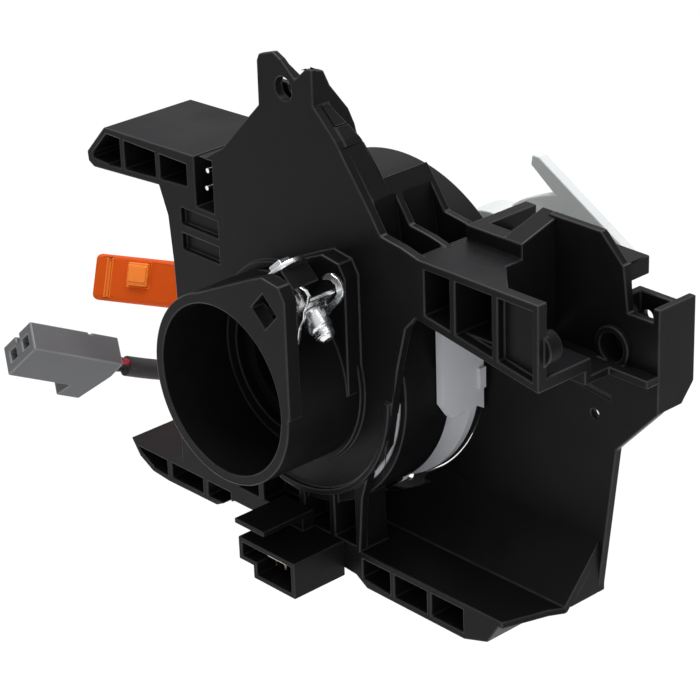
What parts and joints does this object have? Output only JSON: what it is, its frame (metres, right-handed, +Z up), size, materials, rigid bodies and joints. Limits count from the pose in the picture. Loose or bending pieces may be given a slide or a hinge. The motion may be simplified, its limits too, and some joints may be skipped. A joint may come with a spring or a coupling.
{
  "type": "steering clock spring",
  "caption": "Steering clock spring: spiral cable cassette with turning hub, in a black switch carrier with a clamp collar, transport lock and plug leads.",
  "frame": {"origin": "centre of the column collar's rear mouth, on the column's axis", "axes": "+Y along the column towards the steering wheel, +X to the right seen from the column's side, +Z up"},
  "size_m": [0.2428, 0.104, 0.1492],
  "materials": {
    "black_plastic": "fine grained moulding",
    "grey_plastic": "natural satin moulding",
    "cover_plastic": "satin moulding",
    "lock_plastic": "natural satin moulding",
    "cable_film": "smooth film",
    "zinc_steel": "zinc plated",
    "pin_steel": "tinned",
    "contact_brass": "tinned brass",
    "orange_plastic": "satin moulding",
    "light_orange_plastic": "satin moulding",
    "plug_grey_plastic": "satin moulding",
    "red_insulation": "smooth insulation",
    "black_insulation": "smooth insulation",
    "sleeve_rubber": "soft sleeve"
  },
  "bodies": {
    "carrier": {"main_plate": "black_plastic", "column_collar": "black_plastic", "mount_ears": "black_plastic", "cassette_cup": "black_plastic", "left_switch_box": "black_plastic", "right_switch_beam": "black_plastic", "side_panel": "black_plastic", "left_shelf": "black_plastic", "right_shelf": "black_plastic", "under_shelf": "black_plastic", "cassette_body": "grey_plastic", "cassette_cover": "cover_plastic", "flat_cable": "cable_film", "stator_end_block": "grey_plastic", "cassette_screws": "zinc_steel", "socket_shell": "black_plastic", "socket_terminals": "contact_brass", "slot_terminals": "pin_steel", "clamp_clip": "zinc_steel", "clamp_nut": "zinc_steel", "clamp_screw": "zinc_steel"},
    "rotor": {"rotor_hub": "cover_plastic", "rotor_clip_ring": "cover_plastic", "cable_end_block": "grey_plastic", "lead_outlet": "cover_plastic", "orange_connector": "orange_plastic", "orange_lock": "light_orange_plastic", "orange_lead": "sleeve_rubber", "grey_connector": "plug_grey_plastic", "grey_terminals": "contact_brass", "red_wire": "red_insulation", "black_wire": "black_insulation", "lead_sleeve": "sleeve_rubber"},
    "lock": {"transport_lock": "lock_plastic"}
  },
  "joints": [
    {"name": "rotor_spin", "type": "hinge", "parent": "carrier", "child": "rotor", "pos_m": [0, 0, 0], "axis": [0, 1, 0], "range_deg": [-900, 900]},
    {"name": "lock_pull", "type": "slide", "parent": "rotor", "child": "lock", "axis": [0, 1, 0], "range_m": [0, 0.03]}
  ]
}
